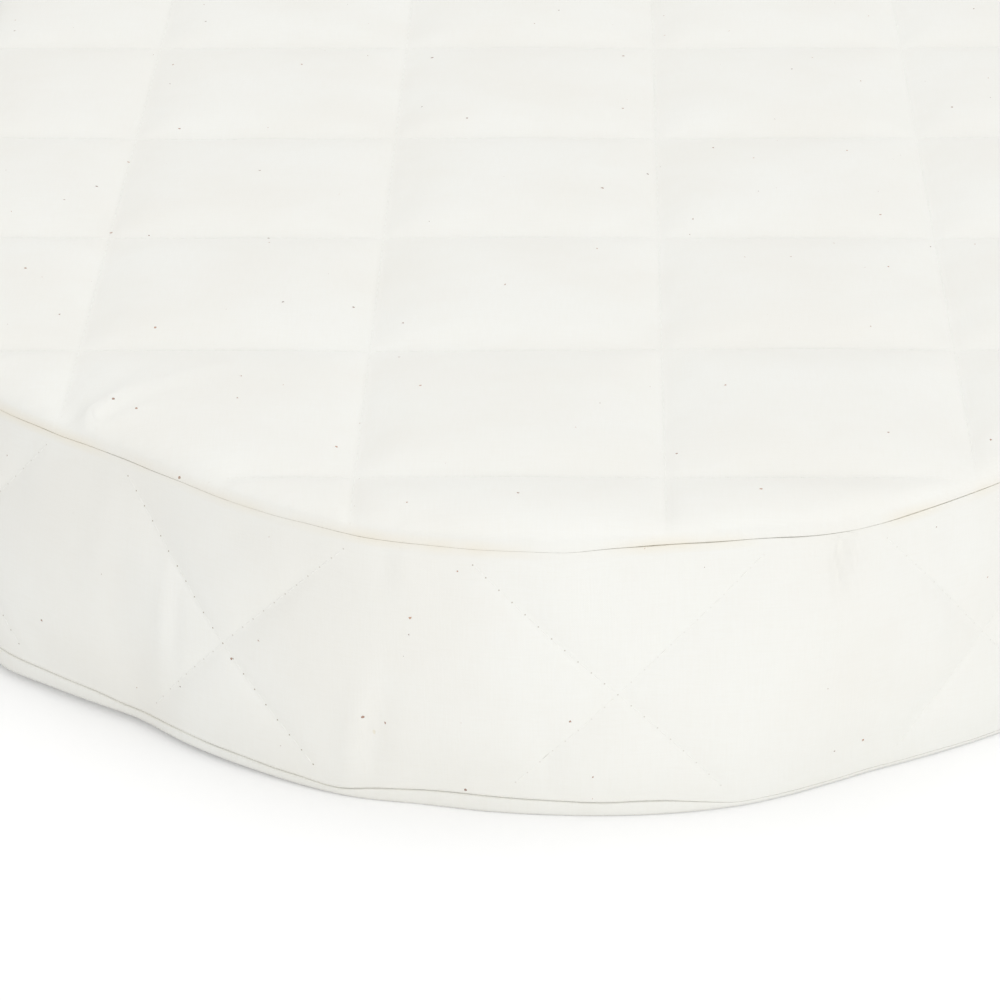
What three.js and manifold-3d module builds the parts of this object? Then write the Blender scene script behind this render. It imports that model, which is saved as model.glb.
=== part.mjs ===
// Infant lounger pad in natural cotton: a firm core in a thin inner cover, inside a quilted cover.
// The cover has three quilted panels, a top, a side band and a bottom, sewn together along two seams.
// Each panel is a face cloth, wadding and a backing cloth, with quilting threads sewn through them.
// Millimetres, +Z up. The origin is the middle of the pad on the surface it rests on, and the pad is
// longest along Y, with the end that is seen in use towards -Y.
import * as THREE from "three";
import Module from "manifold-3d";
import { mergeVertices } from "three/addons/utils/BufferGeometryUtils.js";

const wasm = await Module();
wasm.setup();

// Driving sizes
const padLength = 787; // over the two round ends
const padWidth = 432;
const coreThickness = 75;
const clearance = 0.3; // left between pieces that touch
const overrun = 2; // how far a cut runs past what it cuts

// Cloths and wadding
const faceCloth = 0.6;
const backingCloth = 0.5;
const innerCloth = 0.4;
const stitchedWadding = 2.2; // wadding pressed flat under the stitches
const topLoft = 4.5; // how far the top's squares swell above their stitches
const bottomLoft = 3; // the same, pressed by the pad's weight
const sideLoft = 3;
const sideBulge = 1.5; // how far the side stands out at half height, past its two seams
const topRoll = 8; // width of the edge that rolls over to the seam
const bottomRoll = 5;
const rollCrest = 1; // how far the roll, left uncut, would stand above the squares

// Quilting
const quiltSquare = 86.6;
const lengthwiseLine = 25; // where one of the lengthwise lines runs, from the middle
const crosswiseLine = 43.5; // where the first crosswise line runs, from the near end
const sideSpacing = 114; // between crossings on the side, where the quilt is turned by 45 degrees
const sideCrossing = 11.5; // one of them, along the seam from the middle of the near end
const threadWidth = 0.5;
const threadEnd = 3; // a quilting thread stops this far inside the seam

// Core and inner cover
const coreEdge = 3; // bevel on the core's edges
const mouthWidth = 220; // slit in the inner cover, through which the core goes in
const mouthHeight = 3;

// Across a square: where the quilt's surface bends, and how much of the loft it has there
const squareShares = [0, 0.28, 0.72];
const squareLoftShares = [0, 1, 1];
// On the side: loft by distance from the nearest line, and by row from half height to the seam
const sideLoftShares = [0, 0.75, 1, 1];
const sideRowShares = [1, 0.8, 0];
const smallTriangleShare = 0.4; // loft of the small triangles above and below a crossing
const stepsPerCrossing = 6;

// The seam line, and the steps round it
const seamRadius = padWidth / 2 - sideLoft - sideBulge;
const straightRun = padLength - padWidth;
const perimeter = 2 * straightRun + 2 * Math.PI * seamRadius;
const crossings = Math.round(perimeter / sideSpacing);
const outlineSteps = crossings * stepsPerCrossing;
const outlineStep = perimeter / outlineSteps;
const sideHalfRows = sideRowShares.length - 1;
const joinStep = (Math.floor(crossings / 2) + 0.5) * stepsPerCrossing; // the side's join, at the far end

// Depths below a panel's stitches, from the outside in
const waddingDepth = faceCloth + clearance;
const backingDepth = waddingDepth + stitchedWadding + clearance;
const innerCoverDepth = backingDepth + backingCloth + clearance;
const coreDepth = innerCoverDepth + innerCloth + clearance;
const seamGap = threadWidth + 2 * clearance; // between the cloths of two panels, with their thread

// Heights above the floor
const bottomStitches = bottomLoft;
const coreBottom = bottomStitches + coreDepth;
const coreTop = coreBottom + coreThickness;
const topStitches = coreTop + coreDepth;
const sideBottom = bottomStitches + backingDepth + seamGap;
const sideTop = topStitches - backingDepth - seamGap;
const sideMiddle = (sideBottom + sideTop) / 2;
const sideHalfHeight = (sideTop - sideBottom) / 2;

// A point on the seam line, moved in by inset. It lies at the distance run from the middle of the
// near end, towards +X.
function seamPoint(run, inset) {
  const quarter = (Math.PI / 2) * seamRadius;
  const radius = seamRadius - inset;
  const round = (angle, y) =>
    new THREE.Vector2(radius * Math.cos(angle), y + radius * Math.sin(angle));
  const nearHalf = ((run % perimeter) + perimeter) % perimeter;
  const right = nearHalf - quarter;
  const farEnd = right - straightRun;
  const left = farEnd - 2 * quarter;
  const otherHalf = left - straightRun;
  if (right < 0) return round(nearHalf / seamRadius - Math.PI / 2, -straightRun / 2);
  if (farEnd < 0) return new THREE.Vector2(radius, right - straightRun / 2);
  if (left < 0) return round(farEnd / seamRadius, straightRun / 2);
  if (otherHalf < 0) return new THREE.Vector2(-radius, straightRun / 2 - left);
  return round(otherHalf / seamRadius + Math.PI, -straightRun / 2);
}

// The same at a step round the outline. Step 0 is a crossing on the side.
const outlinePoint = (step, inset) => seamPoint(sideCrossing + step * outlineStep, inset);

function geometryOf(vertices, faces) {
  const geometry = new THREE.BufferGeometry();
  geometry.setAttribute("position", new THREE.Float32BufferAttribute(vertices.flat(), 3));
  geometry.setIndex(faces.flat());
  return geometry;
}

function solidOf(geometry) {
  const bare = geometry.clone();
  bare.deleteAttribute("normal");
  bare.deleteAttribute("uv");
  const merged = mergeVertices(bare);
  return new wasm.Manifold(
    new wasm.Mesh({
      numProp: 3,
      vertProperties: new Float32Array(merged.attributes.position.array),
      triVerts: new Uint32Array(merged.index.array),
    }),
  );
}

function geometryFrom(solid) {
  const mesh = solid.getMesh();
  const geometry = new THREE.BufferGeometry();
  geometry.setAttribute("position", new THREE.BufferAttribute(mesh.vertProperties, 3));
  geometry.setIndex(new THREE.BufferAttribute(mesh.triVerts, 1));
  return geometry;
}

// The steps where the outline turns, without those inside a straight run.
const cornerSteps = [...Array(outlineSteps).keys()].filter((step) => {
  const [before, here, after] = [step - 1, step, step + 1].map((k) => outlinePoint(k, 0).x);
  return before !== here || here !== after;
});

// A closed body with the pad's outline, through rings of [inset, height] from the lowest up.
function stackOf(rings) {
  const vertices = [];
  const faces = [];
  for (const [inset, z] of rings)
    for (const step of cornerSteps) {
      const p = outlinePoint(step, inset);
      vertices.push([p.x, p.y, z]);
    }
  const low = vertices.push([0, 0, rings[0][1]]) - 1;
  const high = vertices.push([0, 0, rings.at(-1)[1]]) - 1;
  const corners = cornerSteps.length;
  const lastRing = (rings.length - 1) * corners;
  for (let i = 0; i < corners; i++) {
    const j = (i + 1) % corners;
    faces.push([low, j, i], [high, lastRing + i, lastRing + j]);
    for (let ring = 0; ring < lastRing; ring += corners) {
      const next = ring + corners;
      faces.push([ring + i, ring + j, next + j], [ring + i, next + j, next + i]);
    }
  }
  return geometryOf(vertices, faces);
}

// A flat sheet or slab of the pad's outline with bevelled edges.
const bevelledSlab = (inset, low, high, bevel) =>
  stackOf([
    [inset + bevel, low],
    [inset, low + bevel],
    [inset, high - bevel],
    [inset + bevel, high],
  ]);

// The lines of a quilt's mesh from one end to the other: where each runs, and its share of the loft.
function meshLines(stitchLine, end) {
  const first = Math.floor((-end - stitchLine) / quiltSquare);
  const last = Math.ceil((end - stitchLine) / quiltSquare);
  const lines = [];
  for (let square = first; square < last; square++)
    squareShares.forEach((share, k) => {
      lines.push({ at: stitchLine + (square + share) * quiltSquare, loftShare: squareLoftShares[k] });
    });
  lines.push({ at: stitchLine + last * quiltSquare, loftShare: squareLoftShares[0] });
  return lines;
}

// A block whose upper face is the quilt's surface lowered by drop, with its stitches at height 0.
function quiltBlock(loft, drop, floor) {
  const across = meshLines(lengthwiseLine, padWidth / 2 + overrun);
  const along = meshLines(crosswiseLine - padLength / 2, padLength / 2 + overrun);
  const vertices = [];
  for (const x of across)
    for (const y of along) {
      const height = loft * x.loftShare * y.loftShare - drop;
      vertices.push([x.at, y.at, height], [x.at, y.at, floor]);
    }
  const faces = [];
  const quad = (a, b, c, d) => faces.push([a, b, c], [a, c, d]);
  const upper = (i, j) => 2 * (i * along.length + j);
  const lower = (i, j) => upper(i, j) + 1;
  const lastI = across.length - 1;
  const lastJ = along.length - 1;
  for (let i = 0; i < lastI; i++)
    for (let j = 0; j < lastJ; j++) {
      quad(upper(i, j), upper(i + 1, j), upper(i + 1, j + 1), upper(i, j + 1));
      quad(lower(i, j), lower(i, j + 1), lower(i + 1, j + 1), lower(i + 1, j));
    }
  for (let i = 0; i < lastI; i++) {
    quad(lower(i, 0), lower(i + 1, 0), upper(i + 1, 0), upper(i, 0));
    quad(upper(i, lastJ), upper(i + 1, lastJ), lower(i + 1, lastJ), lower(i, lastJ));
  }
  for (let j = 0; j < lastJ; j++) {
    quad(upper(0, j), upper(0, j + 1), lower(0, j + 1), lower(0, j));
    quad(lower(lastI, j), lower(lastI, j + 1), upper(lastI, j + 1), upper(lastI, j));
  }
  return solidOf(geometryOf(vertices, faces));
}

// A quilted panel's body down to the height floor, with its rolled edge, taken in by drop all over.
function quiltedBody(loft, roll, drop, floor) {
  const edge = stackOf([
    [drop, floor - overrun],
    [drop, -backingDepth],
    [drop + roll, loft + rollCrest - drop],
  ]);
  return quiltBlock(loft, drop, floor).intersect(solidOf(edge));
}

// The length of a quilting line inside the seam, at a distance from the pad's middle.
function lineLength(at, isLengthwise) {
  const radius = seamRadius - threadEnd;
  const beyond = isLengthwise ? Math.abs(at) : Math.max(0, Math.abs(at) - straightRun / 2);
  const chord = 2 * Math.sqrt(Math.max(0, radius * radius - beyond * beyond));
  return isLengthwise && chord > 0 ? chord + straightRun : chord;
}

// A panel's threads in one direction. The crosswise ones pass over the lengthwise ones, and a line
// shorter than a square is lost in the seam.
function panelThreads(stitchLine, end, isLengthwise) {
  const over = isLengthwise ? 0 : threadWidth + clearance;
  const z = clearance + threadWidth / 2 + over;
  const threads = [];
  const first = Math.ceil((-end - stitchLine) / quiltSquare);
  const last = Math.floor((end - stitchLine) / quiltSquare);
  for (let k = first; k <= last; k++) {
    const at = stitchLine + k * quiltSquare;
    const length = lineLength(at, isLengthwise);
    if (length <= quiltSquare) continue;
    const size = isLengthwise ? [threadWidth, length] : [length, threadWidth];
    const place = isLengthwise ? [at, 0, z] : [0, at, z];
    threads.push(new THREE.BoxGeometry(...size, threadWidth).translate(...place));
  }
  return threads;
}

function panelCloth(loft, roll) {
  const outside = quiltedBody(loft, roll, 0, -backingDepth);
  const inside = quiltedBody(loft, roll, faceCloth, -backingDepth - overrun);
  return geometryFrom(outside.subtract(inside));
}

// How far the side's stitched lines stand out from the seam line, up rows above half height.
const sideStand = (up) => sideBulge * (1 - (up / sideHalfRows) ** 2);

// How far the side's quilt swells past its stitched lines, at a step and up rows above half height.
function sideSwell(step, up) {
  const turn = step % stepsPerCrossing;
  const across = Math.min(turn, stepsPerCrossing - turn);
  const row = Math.abs(up);
  if (step % outlineSteps === joinStep) return 0;
  const triangleShare = across < row ? smallTriangleShare : 1;
  return sideLoft * sideRowShares[row] * sideLoftShares[Math.abs(across - row)] * triangleShare;
}

// A closed band round the pad, the height of the side, through the points of a section that goes up
// the outside and down the inside. A point has its depth and its rows above half height, and a
// point of the quilted face has isQuilted set.
function sideBand(section) {
  const vertices = [];
  const swells = [];
  for (let i = 0; i < outlineSteps; i++)
    for (const { depth, up, isQuilted } of section) {
      const swell = isQuilted ? sideSwell(i, up) : 0;
      const stand = isQuilted ? sideStand(up) : 0;
      const p = outlinePoint(i, depth - stand - swell);
      vertices.push([p.x, p.y, sideMiddle + (up / sideHalfRows) * sideHalfHeight]);
      swells.push(swell);
    }
  const faces = [];
  for (let i = 0; i < outlineSteps; i++)
    for (let k = 0; k < section.length; k++) {
      const next = (k + 1) % section.length;
      const here = i * section.length;
      const beyond = ((i + 1) % outlineSteps) * section.length;
      const [a, b, c, d] = [here + k, here + next, beyond + next, beyond + k];
      // The fold between a quad's two triangles runs along the line of stitches, if it has one.
      if (swells[a] + swells[c] < swells[b] + swells[d]) faces.push([a, d, c], [a, c, b]);
      else faces.push([a, d, b], [d, c, b]);
    }
  return geometryOf(vertices, faces);
}

// The points of one face of the side from the bottom up, or its two edges where it is plain.
function sideFace(depth, isQuilted) {
  const step = isQuilted ? 1 : 2 * sideHalfRows;
  const points = [];
  for (let up = -sideHalfRows; up <= sideHalfRows; up += step) points.push({ depth, up, isQuilted });
  return points;
}

// A square thread along points on the side, given as [step, up], that stops short of the seams.
function sideThread(points) {
  const half = threadWidth / 2;
  const corners = [
    [-half, -half],
    [half, -half],
    [half, half],
    [-half, half],
  ];
  const reach = 1 - threadEnd / sideHalfHeight;
  const route = points.map(([step, up]) => {
    const p = outlinePoint(step.at + step.lean * up * reach, -clearance - half - sideStand(up * reach));
    return new THREE.Vector3(p.x, p.y, sideMiddle + ((up * reach) / sideHalfRows) * sideHalfHeight);
  });
  const section = new THREE.Shape(corners.map(([x, y]) => new THREE.Vector2(x, y)));
  const extrudePath = new THREE.CatmullRomCurve3(route);
  return solidOf(new THREE.ExtrudeGeometry(section, { steps: points.length - 1, extrudePath }));
}

// A thread from one seam to the other through a step at half height, leaning that many steps a row.
function sideLine(at, lean) {
  const points = [];
  for (let up = -sideHalfRows; up <= sideHalfRows; up++) points.push([{ at, lean }, up]);
  return sideThread(points);
}

// The thread of a seam, round the pad in the gap between the cloths of two panels.
function seamThread(middle) {
  const inset = (faceCloth - threadWidth) / 2;
  const plug = (taken, halfHeight) =>
    solidOf(stackOf([
      [taken, middle - halfHeight],
      [taken, middle + halfHeight],
    ]));
  const inside = plug(inset + threadWidth, threadWidth);
  return geometryFrom(plug(inset, threadWidth / 2).subtract(inside));
}

// The inner cover: a thin bag round the core, with its mouth at the far end.
function innerCover() {
  const low = bottomStitches + innerCoverDepth;
  const high = topStitches - innerCoverDepth;
  const outside = solidOf(bevelledSlab(innerCoverDepth, low, high, coreEdge));
  const inset = innerCoverDepth + innerCloth;
  const inside = solidOf(bevelledSlab(inset, low + innerCloth, high - innerCloth, coreEdge));
  const reach = padLength / 2;
  const mouth = new THREE.BoxGeometry(mouthWidth, reach, mouthHeight).translate(0, reach, sideMiddle);
  return geometryFrom(outside.subtract(inside).subtract(solidOf(mouth)));
}

const cottonColour = 0xf5f3ec;
const calicoColour = 0xf1ebdb;
const waddingColour = 0xf3eee0;
const threadColour = 0xf0e9d8;
const foamColour = 0xeee2c4;

const pad = new THREE.Group();

function addPiece(name, geometry, colour, parent = pad) {
  const material = new THREE.MeshStandardMaterial({ color: colour, roughness: 0.95, metalness: 0 });
  const piece = new THREE.Mesh(geometry, material);
  piece.name = name;
  parent.add(piece);
}

// The top or bottom panel, with its outside up and its stitches at height 0
function addPanel(name, loft, roll) {
  const panel = new THREE.Group();
  const wadding = quiltedBody(loft, roll, waddingDepth, clearance - backingDepth);
  const backing = stackOf([
    [waddingDepth, -backingDepth - backingCloth],
    [waddingDepth, -backingDepth],
  ]);
  addPiece(`${name}_face_cloth`, panelCloth(loft, roll), cottonColour, panel);
  addPiece(`${name}_wadding`, geometryFrom(wadding), waddingColour, panel);
  addPiece(`${name}_backing_cloth`, backing, calicoColour, panel);
  panelThreads(lengthwiseLine, seamRadius, true).forEach((thread, k) => {
    addPiece(`${name}_lengthwise_thread_${k + 1}`, thread, threadColour, panel);
  });
  panelThreads(crosswiseLine - padLength / 2, padLength / 2, false).forEach((thread, k) => {
    addPiece(`${name}_crosswise_thread_${k + 1}`, thread, threadColour, panel);
  });
  pad.add(panel);
  return panel;
}

// The top panel
const top = addPanel("top", topLoft, topRoll);
top.position.z = topStitches;

// The bottom panel, turned over
const bottom = addPanel("bottom", bottomLoft, bottomRoll);
bottom.position.z = bottomStitches;
bottom.rotation.y = Math.PI;

// The side band: two quilted faces make its cloth, and its wadding and backing are plain inside
const clothSection = [...sideFace(0, true), ...sideFace(faceCloth, true).reverse()];
const waddingInside = backingDepth - clearance;
const waddingSection = [...sideFace(waddingDepth, true), ...sideFace(waddingInside, false).reverse()];
const backingInside = backingDepth + backingCloth;
const backingSection = [...sideFace(backingDepth, false), ...sideFace(backingInside, false).reverse()];
addPiece("side_face_cloth", sideBand(clothSection), cottonColour);
addPiece("side_wadding", sideBand(waddingSection), waddingColour);
addPiece("side_backing_cloth", sideBand(backingSection), calicoColour);

// The side's threads: two lines cross at each crossing, and one closes the band's join
for (let k = 0; k < crossings; k++) {
  const at = k * stepsPerCrossing;
  const cross = geometryFrom(sideLine(at, 1).add(sideLine(at, -1)));
  addPiece(`side_crossing_thread_${k + 1}`, cross, threadColour);
}
addPiece("side_join_thread", geometryFrom(sideLine(joinStep, 0)), threadColour);

// The two seams
addPiece("top_seam_thread", seamThread(sideTop + seamGap / 2), threadColour);
addPiece("bottom_seam_thread", seamThread(sideBottom - seamGap / 2), threadColour);

// The core in its cover
addPiece("inner_cover", innerCover(), calicoColour);
addPiece("core_slab", bevelledSlab(coreDepth, coreBottom, coreTop, coreEdge), foamColour);

export default pad;
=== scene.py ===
import math
from contextlib import contextmanager

import bpy
import numpy as np
from mathutils import Matrix, Quaternion, Vector, noise


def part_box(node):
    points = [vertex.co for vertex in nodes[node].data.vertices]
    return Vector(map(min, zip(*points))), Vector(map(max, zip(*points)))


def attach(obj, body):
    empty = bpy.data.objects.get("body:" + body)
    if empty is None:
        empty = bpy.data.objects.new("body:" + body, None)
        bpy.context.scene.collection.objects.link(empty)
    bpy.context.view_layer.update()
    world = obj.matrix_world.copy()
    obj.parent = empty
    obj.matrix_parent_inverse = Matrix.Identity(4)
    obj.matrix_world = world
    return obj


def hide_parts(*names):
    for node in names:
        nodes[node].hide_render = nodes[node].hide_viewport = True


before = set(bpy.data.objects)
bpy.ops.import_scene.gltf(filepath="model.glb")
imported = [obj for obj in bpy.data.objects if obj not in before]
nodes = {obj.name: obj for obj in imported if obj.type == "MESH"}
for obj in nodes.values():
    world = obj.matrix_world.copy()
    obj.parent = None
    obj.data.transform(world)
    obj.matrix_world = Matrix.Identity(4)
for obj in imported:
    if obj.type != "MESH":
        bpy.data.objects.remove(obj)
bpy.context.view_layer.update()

mm = 0.001
scene = bpy.context.scene

# The view. The camera stands about a metre in front of the pad's near end and 0.6 m up, and looks down at
# it with a long lens, turned a little to the left.
camera_data = bpy.data.cameras.new("camera")
camera_data.lens = 155.3
camera_data.sensor_width = 36
camera_data.sensor_fit = "HORIZONTAL"
camera_data.clip_start = 0.05
camera_data.clip_end = 50
camera = bpy.data.objects.new("camera", camera_data)
scene.collection.objects.link(camera)
camera.location = (8.37 * mm, -1432.4 * mm, 610.2 * mm)
look_down, look_left, roll = math.radians(26.05), math.radians(1.56), math.radians(-0.64)
camera.rotation_mode = "QUATERNION"
camera.rotation_quaternion = (
    Quaternion((0, 0, 1), look_left)
    @ Quaternion((1, 0, 0), math.pi / 2 - look_down)
    @ Quaternion((0, 0, 1), roll)
)
scene.camera = camera
scene.view_settings.view_transform = "Standard"


# The stage. A white floor just under the pad, an even white surround, one wide soft lamp high over the pad
# and one low in front of it, a little to the right.
def add_node(tree, kind, inputs=None, **settings):
    """A shader node with its settings, and each input linked to a socket or set to a value."""
    made = tree.nodes.new(kind)
    for name, value in settings.items():
        setattr(made, name, value)
    for name, value in (inputs or {}).items():
        if isinstance(value, bpy.types.NodeSocket):
            tree.links.new(value, made.inputs[name])
        else:
            made.inputs[name].default_value = value
    return made


def colour(red, green, blue):
    """A colour as it looks on a screen, from 0 to 255, as a shader reads it."""
    parts = [part / 255 for part in (red, green, blue)]
    return [part / 12.92 if part <= 0.04045 else ((part + 0.055) / 1.055) ** 2.4 for part in parts] + [1]


def maths(tree, operation, first, second=0.0):
    return add_node(tree, "ShaderNodeMath", {0: first, 1: second}, operation=operation).outputs[0]


def seen_as_white(tree):
    """1 where a ray comes from the camera or through a reflection, and 0 for light on the pad."""
    ray = add_node(tree, "ShaderNodeLightPath").outputs
    glossy = maths(tree, "MAXIMUM", ray["Is Camera Ray"], ray["Is Glossy Ray"])
    return maths(tree, "MAXIMUM", glossy, ray["Is Transmission Ray"])


surround_light = 0.745
world = bpy.data.worlds.new("surround")
world.use_nodes = True
scene.world = world
tree = world.node_tree
strength = add_node(
    tree, "ShaderNodeMapRange", {"Value": seen_as_white(tree), "To Min": surround_light, "To Max": 1.0},
)
background = tree.nodes["Background"]
background.inputs["Color"].default_value = (1, 1, 1, 1)
tree.links.new(strength.outputs["Result"], background.inputs["Strength"])

floor_width, floor_gap = 12, 0.05 * mm
floor_tone, floor_lift = 0.92, 0.17
bpy.ops.object.select_all(action="DESELECT")
bpy.ops.mesh.primitive_plane_add(size=floor_width, location=(0, 0, -floor_gap))
floor = bpy.context.object
floor.name = "floor"
floor_paint = bpy.data.materials.new("floor_paint")
floor_paint.use_nodes = True
tree = floor_paint.node_tree
paint = tree.nodes["Principled BSDF"]
paint.inputs["Base Color"].default_value = (floor_tone, floor_tone, floor_tone, 1)
paint.inputs["Roughness"].default_value = 1
paint.inputs["Specular IOR Level"].default_value = 0
paint.inputs["Emission Color"].default_value = (1, 1, 1, 1)
lift = maths(tree, "MULTIPLY", seen_as_white(tree), floor_lift)
tree.links.new(lift, paint.inputs["Emission Strength"])
floor.data.materials.append(floor_paint)

for name, size, power, place, aim in (
    ("high_lamp", 1.4, 9, (0.2, 0.2, 2.2), (0, -0.2, 0)),
    ("front_lamp", 1.2, 7.6, (0.6, -2.15, 0.55), (0, -0.3, 0)),
):
    lamp_data = bpy.data.lights.new(name, "AREA")
    lamp_data.shape = "DISK"
    lamp_data.size = size
    lamp_data.energy = power
    lamp = bpy.data.objects.new(name, lamp_data)
    scene.collection.objects.link(lamp)
    lamp.location = place
    lamp.rotation_mode = "QUATERNION"
    lamp.rotation_quaternion = (Vector(aim) - lamp.location).to_track_quat("-Z", "Y")


# The top panel's face cloth: unbleached cotton, quilted in squares over wadding and sewn to the side
# band round its rim. It is cut flat along its quilting lines, its stitched lines and rim are held, and
# the wadding blows up the squares between them.
rim_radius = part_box("top_face_cloth")[1].x
end_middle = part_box("top_face_cloth")[1].y - rim_radius
thread_gap = 0.3 * mm
cloth_thickness = 0.6 * mm
seam_groove = 0.22 * mm
top_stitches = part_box("top_lengthwise_thread_1")[0].z - thread_gap
top_seam = sum(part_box("top_seam_thread"), Vector()).z / 2
bottom_seam = sum(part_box("bottom_seam_thread"), Vector()).z / 2
top_loft, top_swell, cloth_slack = 3.6 * mm, 2 * mm, -0.003
top_roll = 8 * mm
cells_per_square, rim_facets = 18, 96
crease_pull, crease_weight, pillow_share = 0.45, 0.5, 0.42
rim_reach, overcut = 16 * mm, 2 * mm
seam_lip, seam_inset, turned_in = 1.2 * mm, 0.25 * mm, 3 * mm

# How the near end was sewn, by the angle in degrees from its middle: how far each seam is drawn out or in
# from the true round, how far the bottom seam lies off its even height, how far the corner under it stands
# off the floor, all in millimetres, and how far the top seam gapes, from 0 to 1.
top_pulls = (
    (-175, 0), (-150, 1.4), (-115, 1.2), (-78, 0), (-63, -1.2), (-55, -5.4), (-47, -9.8), (-41, -12.1),
    (-34, -10.8), (-27, -7.2), (-21, -4), (-14, -1), (-7, -0.3), (-1, -0.2), (3, -2.4), (8, -3.5),
    (13, -2.7), (18, -0.4), (22, -0.2), (27, -2.6), (31, -4.7), (36, -6.4), (44, -7), (58, -3), (74, 0),
)
bottom_pulls = (
    (-78, 0), (-54.5, 0.5), (-48.5, -4), (-43, -7.7), (-39, -9.4), (-33, -6.9), (-27, -5.2), (-18, -3.1),
    (-12, -4.2), (-6, -3.2), (8, -2.1), (13, -3), (17, -5.2), (21, -7.8), (25, -9.6), (30, -9.8),
    (37, -9.2), (48, -7), (70, 0),
)
bottom_drops = (
    (-78, 0), (-54.5, 0.8), (-48.5, 0), (-43, -0.6), (-40, -1.8), (-33, -1.8), (-27, -2.9), (-22.5, -3.6),
    (-19, -4.6), (-15.5, -2.9), (-10, -1.8), (-5, -1.9), (0, -2.4), (7, -2.5), (10, -3.8), (13, -5.2),
    (21, -5.5), (30, -5.3), (37, -5.4), (50, -3.4), (70, 0),
)
corner_lifts = (
    (-80, 0), (-66, 1), (-54.5, 1.7), (-43, 2), (-33, 1.5), (-27, 1), (-22.5, 0.5), (-19, 0.2), (-16, 0),
)
seam_gapes = (
    (-78, 0.4), (-54, 0.5), (-50, 0.9), (-45, 0.5), (-38, 1), (-33, 0.6), (-27, 0.15), (-22, 0.3),
    (-15, 0.35), (-8, 0.12), (0, 0.25), (6, 1), (20, 0.9), (22, 0.3), (26, 0.9), (36, 0.8), (60, 0.4),
)


def drawn(pulls, degrees):
    """The pull at an angle, on a smooth curve through the listed ones."""
    if not pulls[0][0] < degrees < pulls[-1][0]:
        return 0.0
    index = max(i for i, pull in enumerate(pulls) if pull[0] <= degrees)
    before, low, high, after = (pulls[min(max(index + step, 0), len(pulls) - 1)] for step in (-1, 0, 1, 2))
    span = high[0] - low[0]
    t = (degrees - low[0]) / span
    slope_low = (high[1] - before[1]) / max(high[0] - before[0], 1) * span
    slope_high = (after[1] - low[1]) / max(after[0] - low[0], 1) * span
    return mm * (
        (2 * t**3 - 3 * t**2 + 1) * low[1] + (t**3 - 2 * t**2 + t) * slope_low
        + (3 * t**2 - 2 * t**3) * high[1] + (t**3 - t**2) * slope_high
    )


def smooth(share):
    """0 below 0, 1 above 1, and an even S between."""
    share = min(1, max(0, share))
    return share * share * (3 - 2 * share)


def waver(seed, x, y, size):
    """A slow unevenness, mostly from -1 to 1, as hand sewing leaves."""
    return 1.6 * noise.noise(Vector((x / size, y / size, seed)))


quarter_run = rim_radius * math.pi / 2
straight_run = 2 * end_middle
whole_run = 4 * quarter_run + 2 * straight_run


def round_place(run):
    """The place on the true round at a run from the middle of the near end, and the way out there."""
    run %= whole_run
    if run < quarter_run:
        angle = run / rim_radius
    elif run < quarter_run + straight_run:
        return Vector((rim_radius, run - quarter_run - end_middle)), Vector((1, 0))
    elif run < 3 * quarter_run + straight_run:
        angle = (run - straight_run) / rim_radius
    elif run < 3 * quarter_run + 2 * straight_run:
        return Vector((-rim_radius, end_middle - (run - 3 * quarter_run - straight_run))), Vector((-1, 0))
    else:
        angle = (run - 2 * straight_run) / rim_radius
    way = Vector((math.sin(angle), -math.cos(angle)))
    return Vector((0, math.copysign(end_middle, way.y))) + way * rim_radius, way


def run_of(x, y):
    """The run from the middle of the near end at which a place beside the round lies."""
    if abs(y) <= end_middle:
        return quarter_run + y + end_middle if x > 0 else 3 * quarter_run + straight_run + end_middle - y
    angle = math.atan2(x, -(y - math.copysign(end_middle, y))) % (2 * math.pi)
    run = angle * rim_radius
    if y > 0:
        return run + straight_run
    return run if x > 0 else run + 2 * straight_run


def from_rim(x, y):
    """How far a place lies in from the true round, and the way out to it."""
    past = Vector((x, y - math.copysign(min(abs(y), end_middle), y)))
    if abs(y) <= end_middle:
        return rim_radius - abs(x), Vector((math.copysign(1, x), 0))
    return rim_radius - past.length, past.normalized()


def end_angle(x, y):
    """The angle round the near end from its middle, in degrees, at which a place lies."""
    return math.degrees(math.atan2(x, -y - end_middle))


side_waver, side_waver_length = 0.7 * mm, 90 * mm
drawn_end, drawn_fade = 78, 15


def seam_shift(share, x, y):
    """How far the side lies out from the true round at a share of its height, near a place of the rim. Past
    the near end, whose tables give it, it only wavers a little."""
    gap, way = from_rim(x, y)
    rim_x, rim_y = Vector((x, y)) + way * gap
    angle = end_angle(x, y)
    uneven = side_waver * (1 - smooth((drawn_end - abs(angle)) / drawn_fade))
    low, high = (
        uneven * waver(seed, rim_x, rim_y, side_waver_length) + drawn(pulls, angle)
        for seed, pulls in ((3, bottom_pulls), (8, top_pulls))
    )
    return low + (high - low) * smooth(share)


seam_wander, wander_length = 0.25 * mm, 16 * mm


def seam_height(is_top, x, y):
    """The height of a seam at a place near the rim. Hand sewing wanders a little off its level."""
    wander = seam_wander * waver(5 + is_top, x, y, wander_length)
    if is_top:
        return top_seam + wander
    return bottom_seam + wander + drawn(bottom_drops, end_angle(x, y))


strip_closes_share, closed_from, closed_to = 0.85, 4, 80
closes_over, opens_over = 10, 20


def strip_stands(x, y):
    """How far the bottom's strip stands free of the side: all but closed to the right of the near end."""
    angle = end_angle(x, y)
    closed = smooth((angle - closed_from) / closes_over) * smooth((closed_to - angle) / opens_over)
    return 1 - strip_closes_share * closed


top_gape, bottom_gape, least_gape = 0.4, 0.5, 0.08
gape_waver_share, gape_waver_length = 0.5, 9 * mm


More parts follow.
